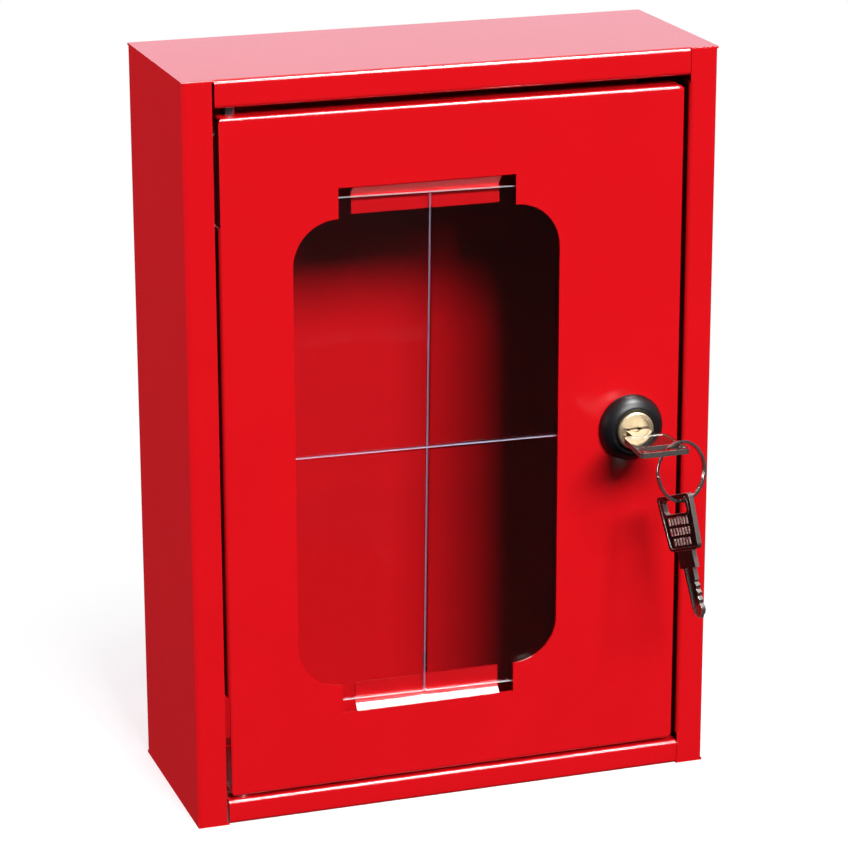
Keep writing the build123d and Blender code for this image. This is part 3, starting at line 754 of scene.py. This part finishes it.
@dataclass
class LockSet:
    """Cam lock with its fixings, and the hinge pins."""

    steel_nodes: tuple[str, ...] = (
        "upper_hinge_pin", "lower_hinge_pin", "hinge_washer", "hinge_spacer", "lock_washer", "lock_nut",
        "stop_washer", "lock_cam", "cam_washer", "cam_screw",
    )
    brass_nodes: tuple[str, ...] = ("lock_barrel", "lock_plug", "lock_wafers")
    plastic_nodes: tuple[str, ...] = ("lock_rosette",)

    def build(self, steel: bpy.types.Material, brass: bpy.types.Material,
              plastic: bpy.types.Material) -> None:
        """Dress the lock and its fixings.

        Args:
            steel: Zinc plated steel.
            brass: Turned brass.
            plastic: Black plastic of the rosette.
        """
        sets = ((self.steel_nodes, steel), (self.brass_nodes, brass), (self.plastic_nodes, plastic))
        for nodes, material in sets:
            for node in nodes:
                dress(node, material)


@dataclass
class SplitRing:
    """Split ring of spring wire between the two keys."""

    rounding: Rounding = Rounding(0.15)

    def build(self, wire: bpy.types.Material) -> None:
        """Round the ring's cut ends and dress it.

        Args:
            wire: Polished spring wire.
        """
        rounded_copy("key_ring", self.rounding, "ring", (wire,))


@dataclass
class KeyMetals:
    """Materials of a worn key, with painted highlight on rims and bars and painted shade in the sunk field.
    """

    nickel: bpy.types.Material
    # Worn rims and bars, painted light: real wear and painted highlight.
    worn_and_highlight: bpy.types.Material
    # Sunk field painted nearly black: painted shade.
    sunk: bpy.types.Material
    blanked: bpy.types.Material


@dataclass
class KeyBlank:
    """Flat key whose worn rim carries a painted highlight, with rows of raised bars stamped in the sunk
    field of its bow.

    Lengths are in the key's own frame: X across the bow, Y through the sheet, Z from the blade to
    the bow, with the origin at the shoulder.
    """

    node: str
    body: str
    origin_mm: tuple[float, float, float]
    across: tuple[float, float, float]
    through: tuple[float, float, float]
    along: tuple[float, float, float]
    rounding: Rounding = Rounding(0.22)
    flat_slope: float = 0.95
    edge_slope: float = 0.3
    rim_y_mm: float = -1.05
    field_y_mm: float = -0.85
    bow_from_mm: float = 8.5
    bar_mm: tuple[float, float, float] = (1.1, 0.3, 3.3)
    bar_chamfer_mm: float = 0.12
    bar_sunk_mm: float = 0.05
    bar_pitch_mm: float = 2.05
    rows: tuple[tuple[float, int], ...] = ((21.2, 7), (16.6, 7), (12.0, 6))

    def placing(self) -> Matrix:
        """Matrix from the key's own frame to the part's frame, in metres."""
        turn = Matrix((self.across, self.through, self.along)).transposed().to_4x4()
        return Matrix.Translation(Vector(self.origin_mm) * MM) @ turn

    def bar(self, name: str) -> bpy.types.Object:
        """Model one bar with rounded edges at the origin of the key's frame.

        Args:
            name: Name of the bar.

        Returns:
            The bar, unrotated and unscaled.
        """
        bpy.ops.object.select_all(action="DESELECT")
        bpy.ops.mesh.primitive_cube_add(size=1.0, location=(0, 0, 0))
        made = bpy.context.active_object
        made.name = name
        made.scale = Vector(self.bar_mm) * MM
        bpy.ops.object.transform_apply(location=False, rotation=False, scale=True)
        bpy.ops.object.mode_set(mode="EDIT")
        bpy.ops.mesh.select_all(action="SELECT")
        bpy.ops.mesh.bevel(offset=self.bar_chamfer_mm * MM, segments=2, affect="EDGES")
        bpy.ops.object.mode_set(mode="OBJECT")
        return made

    def bar_places(self) -> list[Vector]:
        """Work out where the bars stand.

        Returns:
            Centres of the bars in the key's frame, in metres, row by row.
        """
        height = self.field_y_mm - self.bar_mm[1] / 2 + self.bar_sunk_mm
        return [
            Vector(((i - (count - 1) / 2) * self.bar_pitch_mm, height, z)) * MM
            for z, count in self.rows for i in range(count)
        ]

    def stamp(self, metal: bpy.types.Material) -> None:
        """Set the bars in their rows and join them to one stamped relief.

        Args:
            metal: Metal of the raised bars, painted light: wear and painted highlight.
        """
        first = self.bar(f"{self.node}_stamp")
        bars = [first]
        shape = first.data.copy()
        places = self.bar_places()
        first.location = places[0]
        for k, place in enumerate(places[1:]):
            more = bpy.data.objects.new(f"{self.node}_bar_{k}", shape.copy())
            bpy.context.scene.collection.objects.link(more)
            more.location = place
            bars.append(more)
        select_only(*bars)
        bpy.ops.object.join()
        bpy.ops.object.transform_apply(location=True, rotation=True, scale=True)
        first.matrix_world = self.placing()
        bpy.ops.object.transform_apply(location=True, rotation=True, scale=True)
        first.data.materials.append(metal)
        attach(first, self.body)
        LOG.info("stamped %s with %d bars", self.node, len(bars))

    def build(self, metals: KeyMetals) -> None:
        """Round the key, paint the sunk field under the stamping nearly black as painted shade, and stamp
        it.

        Args:
            metals: Nickel on flats, worn rims and bars with painted highlight, sunk field with painted
                shade, blanked edge.
        """
        finishes = (metals.nickel, metals.worn_and_highlight)
        piece = rounded_copy(self.node, self.rounding, self.body, finishes)
        piece.data.materials.append(metals.sunk)
        piece.data.materials.append(metals.blanked)
        back = self.placing().inverted()
        for polygon in piece.data.polygons:
            place = back @ polygon.center
            slope = abs(polygon.normal.dot(Vector(self.through)))
            on_field = self.rim_y_mm * MM < place.y < 0 and place.z > self.bow_from_mm * MM
            # The sunk field takes the nearly black painted shade.
            if slope > self.flat_slope and on_field:
                polygon.material_index = KeyFace.SUNK
            elif slope < self.edge_slope and polygon.material_index == KeyFace.FLAT:
                polygon.material_index = KeyFace.BLANKED
        self.stamp(metals.worn_and_highlight)


DOOR_KEY = KeyBlank(
    node="door_key", body="key", origin_mm=(81.65, -100.8, -1.75),
    across=(1, 0, 0), through=(0, 0, 1), along=(0, -1, 0),
)
SPARE_KEY = KeyBlank(
    node="spare_key", body="spare", origin_mm=(93.383, -135.397, -55.025),
    across=(0.2885, -0.8879, 0.3584), through=(0.9511, 0.3090, 0.0), along=(-0.1107, 0.3409, 0.9336),
)


@dataclass(frozen=True)
class SoftLamp:
    """Rectangular soft lamp that faces the part, at an azimuth right of the front and an elevation."""

    name: str
    azimuth_deg: float
    elevation_deg: float
    distance: float
    size: tuple[float, float]
    aim: tuple[float, float, float] = (0, -0.05, 0)

    def towards(self) -> Vector:
        """Work out the direction of the lamp.

        Returns:
            Unit vector from the part to the lamp.
        """
        a, e = math.radians(self.azimuth_deg), math.radians(self.elevation_deg)
        return Vector((math.sin(a) * math.cos(e), -math.cos(a) * math.cos(e), math.sin(e)))

    def watts(self, level: float, facing: Vector) -> float:
        """Work out the power that lights a white surface to a level.

        Args:
            level: Brightness of the surface, where 1 is white.
            facing: Normal of the surface.

        Returns:
            Power in watts.
        """
        return level * math.pi ** 2 * self.distance ** 2 / self.towards().dot(facing)

    def hang(self, watts: float) -> bpy.types.Object:
        """Hang the lamp.

        Args:
            watts: Its power.

        Returns:
            The lamp's object.
        """
        data = bpy.data.lights.new(self.name, "AREA")
        data.shape = "RECTANGLE"
        data.size, data.size_y = self.size
        data.energy = watts
        made = bpy.data.objects.new(self.name, data)
        bpy.context.scene.collection.objects.link(made)
        made.location = Vector(self.aim) + self.towards() * self.distance
        made.rotation_euler = self.towards().to_track_quat("Z", "Y").to_euler()
        return made


@dataclass
class Room:
    """Light of the room: white where the camera looks, bright behind the part and dark in front.

    Each pair is a range: of a direction's Y or Z, or of brightness from the front to the wall.
    """

    behind_y: tuple[float, float] = (-0.2, 0.5)
    raised_z: tuple[float, float] = (-0.12, 0.1)
    wall_shine: tuple[float, float] = (0.22, 1.2)
    least_shine: float = 0.03
    fill: tuple[float, float] = (0.015, 0.45)
    wall_colour: str = "FBF1FF"

    def seen(self, tree: bpy.types.NodeTree, rays: Any) -> Any:
        """Tell the rays that show the plain white background.

        Args:
            tree: Node tree of the world.
            rays: Outputs of the light path.

        Returns:
            Socket that is 1 for the camera's own rays, also straight through the pane.
        """
        straight = compute(tree, "LESS_THAN", rays["Glossy Depth"], 0.5)
        through = compute(tree, "MULTIPLY", rays["Is Transmission Ray"], straight)
        return compute(tree, "MAXIMUM", rays["Is Camera Ray"], through)

    def build(self) -> None:
        """Light the room."""
        world = bpy.data.worlds.new("studio_room")
        bpy.context.scene.world = world
        world.use_nodes = True
        tree = world.node_tree
        tree.nodes.clear()
        rays = add_node(tree, "LightPath").outputs
        way = add_node(tree, "SeparateXYZ", {0: add_node(tree, "TexCoord").outputs["Generated"]}).outputs
        behind = spread(tree, way["Y"], 0.0, 1.0, *self.behind_y, "SMOOTHSTEP")
        raised = spread(tree, way["Z"], 0.0, 1.0, *self.raised_z, "SMOOTHSTEP")
        wall = compute(tree, "MULTIPLY", spread(tree, behind, *self.wall_shine), raised)
        shine = compute(tree, "ADD", wall, self.least_shine)
        fill = spread(tree, behind, *self.fill)
        room = add_node(tree, "Mix", {0: rays["Is Glossy Ray"], 2: fill, 3: shine}, data_type="FLOAT")
        seen = self.seen(tree, rays)
        level = add_node(tree, "Mix", {0: seen, 2: room.outputs[0], 3: 1.0}, data_type="FLOAT")
        colour = add_node(tree, "Mix", {0: seen, 6: to_linear(self.wall_colour), 7: WHITE}, data_type="RGBA")
        light = add_node(tree, "Background", {"Color": colour.outputs[2], "Strength": level.outputs[0]})
        add_node(tree, "OutputWorld", {"Surface": light.outputs[0]})


@dataclass
class Studio:
    """Soft studio: a bright key from the front, a side light, a bright wall behind, a white floor."""

    key: SoftLamp = SoftLamp("key_lamp", 12.0, 34.0, 6.0, (3.0, 1.5))
    key_level: float = 1.05
    side: SoftLamp = SoftLamp("side_lamp", -100.0, 15.0, 2.0, (0.8, 0.8))
    side_level: float = 0.62
    strip: SoftLamp = SoftLamp("overhead_strip", 40.0, 62.0, 1.5, (0.5, 0.5))
    strip_watts: float = 40.0
    floor_z: float = CAD_BOX[0].z
    floor_radius: float = 8.0
    floor_sides: int = 96
    floor_colour: tuple[float, float, float, float] = (0.8, 0.8, 0.8, 1)
    floor_lift: float = 0.5
    shadow_reach: tuple[float, float] = (0.08, 0.26)
    card_size: float = 0.2
    card_place: tuple[float, float, float] = (0, 0.004, 0.04)
    # The card's near black paints shade behind the case's upper holes.
    card_colour: tuple[float, float, float, float] = (0.01, 0.01, 0.01, 1)

    def lamps(self) -> None:
        """Hang the key, the side light and the strip that only shows as a highlight on the folds."""
        self.key.hang(self.key.watts(self.key_level, Vector((0, -1, 0))))
        self.side.hang(self.side.watts(self.side_level, Vector((-1, 0, 0))))
        self.strip.hang(self.strip_watts).visible_diffuse = False

    def floor(self) -> None:
        """Lay a white floor that keeps the part's shadow near it and runs out to plain white."""
        bpy.ops.object.select_all(action="DESELECT")
        bpy.ops.mesh.primitive_circle_add(
            vertices=self.floor_sides, radius=self.floor_radius, fill_type="NGON",
            location=(0, 0, self.floor_z),
        )
        ground = bpy.context.active_object
        ground.name = "studio_floor"
        material, tree = new_material("matt_white_sweep")
        place = add_node(tree, "TexCoord").outputs["Object"]
        away = add_node(tree, "VectorMath", {0: place}, operation="LENGTH").outputs["Value"]
        plain = spread(tree, away, 0.0, 1.0, *self.shadow_reach, "SMOOTHSTEP")
        rays = add_node(tree, "LightPath").outputs
        matt = add_node(tree, "BsdfDiffuse", {"Color": self.floor_colour})
        glow = compute(tree, "MULTIPLY", rays["Is Camera Ray"], self.floor_lift)
        lift = add_node(tree, "Emission", {"Color": WHITE, "Strength": glow})
        near = add_node(tree, "AddShader", {0: matt.outputs[0], 1: lift.outputs[0]})
        white = add_node(tree, "Emission", {"Color": WHITE, "Strength": 1.0})
        both = add_node(tree, "MixShader", {0: plain, 1: near.outputs[0], 2: white.outputs[0]})
        add_node(tree, "OutputMaterial", {"Surface": both.outputs[0]})
        ground.data.materials.append(material)
        ground.visible_glossy = False
        ground.visible_diffuse = False
        ground.visible_transmission = False

    def painted_shade_card(self) -> None:
        """Stand a dark card behind the case, seen by camera rays from the front alone, as painted shade that
        keeps the upper holes dark.
        """
        bpy.ops.object.select_all(action="DESELECT")
        bpy.ops.mesh.primitive_plane_add(
            size=self.card_size, location=self.card_place, rotation=(math.pi / 2, 0, 0),
        )
        card = bpy.context.active_object
        card.name = "studio_painted_shade_card"
        material, tree = new_material("dark_painted_shade_card")
        side = add_node(tree, "NewGeometry").outputs["Backfacing"]
        dark = add_node(tree, "BsdfDiffuse", {"Color": self.card_colour})
        clear = add_node(tree, "BsdfTransparent", {"Color": WHITE})
        both = add_node(tree, "MixShader", {0: side, 1: dark.outputs[0], 2: clear.outputs[0]})
        add_node(tree, "OutputMaterial", {"Surface": both.outputs[0]})
        card.data.materials.append(material)
        card.visible_diffuse = False
        card.visible_glossy = False
        card.visible_shadow = False

    def build(self) -> None:
        """Set up the whole studio."""
        self.floor()
        self.painted_shade_card()
        Room().build()
        self.lamps()
        LOG.info("set up the studio")


@dataclass
class PhotoCamera:
    """Camera at the photograph's viewing angle, left of the box and above it."""

    location: tuple[float, float, float] = (-0.46043, -1.41570, 0.44754)
    azimuth_deg: float = 18.6
    elevation_deg: float = 17.42
    roll_deg: float = -0.131
    lens_mm: float = 143.02
    sensor_mm: float = 36.0
    clip: tuple[float, float] = (0.01, 50.0)

    def build(self) -> bpy.types.Object:
        """Place the camera and make it the scene's own.

        Returns:
            The camera's object.
        """
        data = bpy.data.cameras.new("photo_camera")
        data.sensor_width = self.sensor_mm
        data.lens = self.lens_mm
        data.clip_start, data.clip_end = self.clip
        made = bpy.data.objects.new("photo_camera", data)
        bpy.context.scene.collection.objects.link(made)
        turn = Matrix.Rotation(-math.radians(self.azimuth_deg), 4, "Z")
        tip = Matrix.Rotation(math.radians(90 - self.elevation_deg), 4, "X")
        roll = Matrix.Rotation(math.radians(self.roll_deg), 4, "Z")
        made.matrix_world = Matrix.Translation(self.location) @ turn @ tip @ roll
        bpy.context.scene.camera = made
        return made


def main() -> None:
    """Build the studio, dress every piece and set the camera."""
    logging.basicConfig(level=logging.INFO, format="%(name)s: %(message)s")
    bpy.context.scene.view_settings.view_transform = "Standard"
    PhotoCamera().build()
    Studio().build()
    SheetCase().build(PowderCoat().material(), PAINTED_SHADE_COAT.material())
    LockSet().build(ZINC.material(), TurnedBrass().material(), MouldedPlastic().material())
    SplitRing().build(WIRE.material())
    metals = KeyMetals(NICKEL.material(), WORN_AND_HIGHLIGHT.material(), SUNK.material(), BLANKED.material())
    DOOR_KEY.build(metals)
    SPARE_KEY.build(metals)
    PaneSheet().build(ClearAcrylic().material(), SAWN.material(), SCORED.material())


if __name__ == "__main__":
    main()
